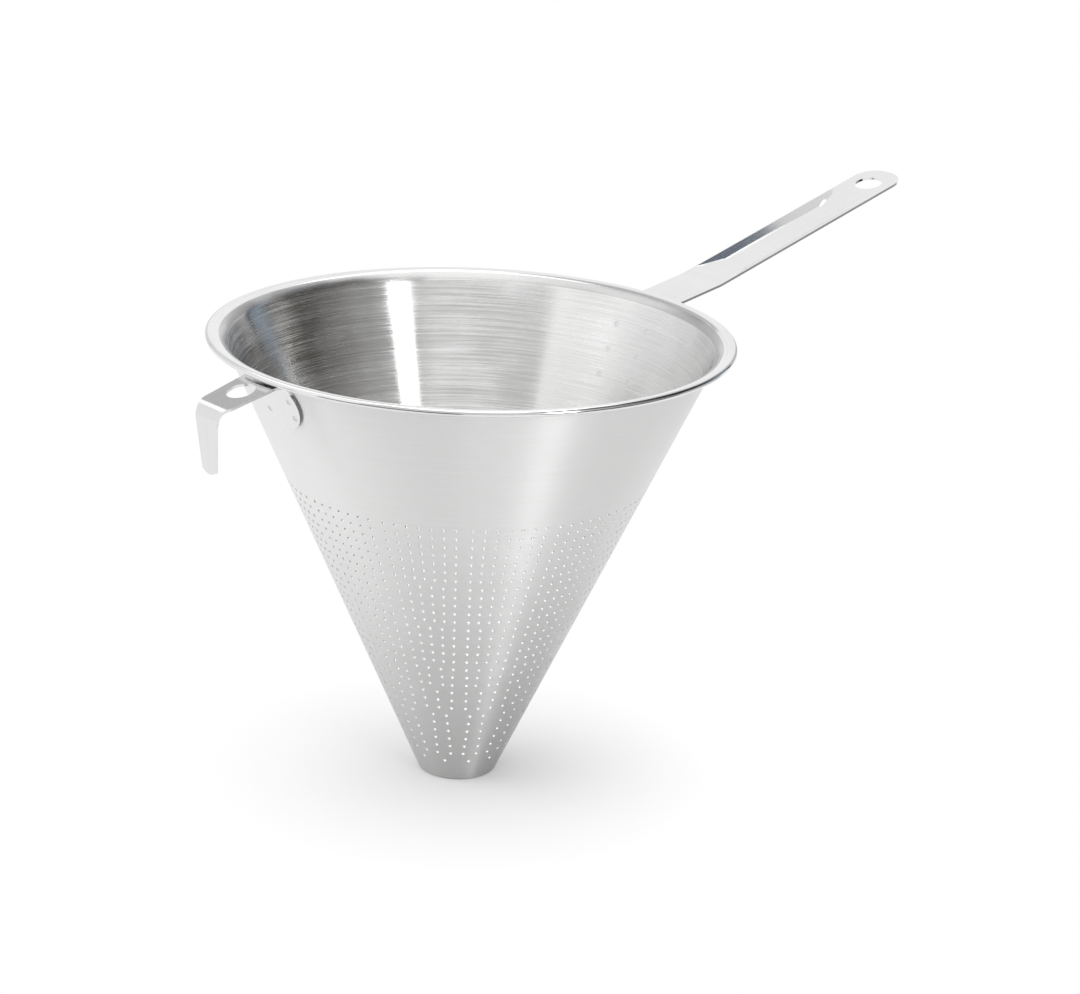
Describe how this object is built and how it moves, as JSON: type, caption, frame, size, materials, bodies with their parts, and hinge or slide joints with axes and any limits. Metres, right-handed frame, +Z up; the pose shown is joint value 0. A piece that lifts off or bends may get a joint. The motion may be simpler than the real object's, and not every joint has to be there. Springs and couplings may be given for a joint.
{
  "type": "chinois strainer",
  "caption": "Deep conical strainer of perforated steel sheet with a rolled rim, a long hanging handle and a pot hook.",
  "frame": {"origin": "centre of the flat tip's underside, which stands on the ground", "axes": "+Z up along the cone's axis, +X along the handle away from the cone, +Y completes a right-handed frame"},
  "size_m": [0.4365, 0.24, 0.2485],
  "materials": {
    "cone_sheet": "satin stainless steel sheet, spun, with fine lines around the inside and a polished rolled rim",
    "strip": "satin stainless steel strip, brushed along its length",
    "weld": "plain spot weld in stainless steel, slightly dimpled and duller than the sheet"
  },
  "bodies": {
    "root": {"cone": "cone_sheet", "handle": "strip", "pot_hook": "strip", "handle_weld_1": "weld", "handle_weld_2": "weld", "handle_weld_3": "weld", "handle_weld_4": "weld", "handle_weld_5": "weld", "handle_weld_6": "weld", "hook_weld_1": "weld", "hook_weld_2": "weld", "hook_weld_3": "weld", "hook_weld_4": "weld"}
  },
  "joints": []
}
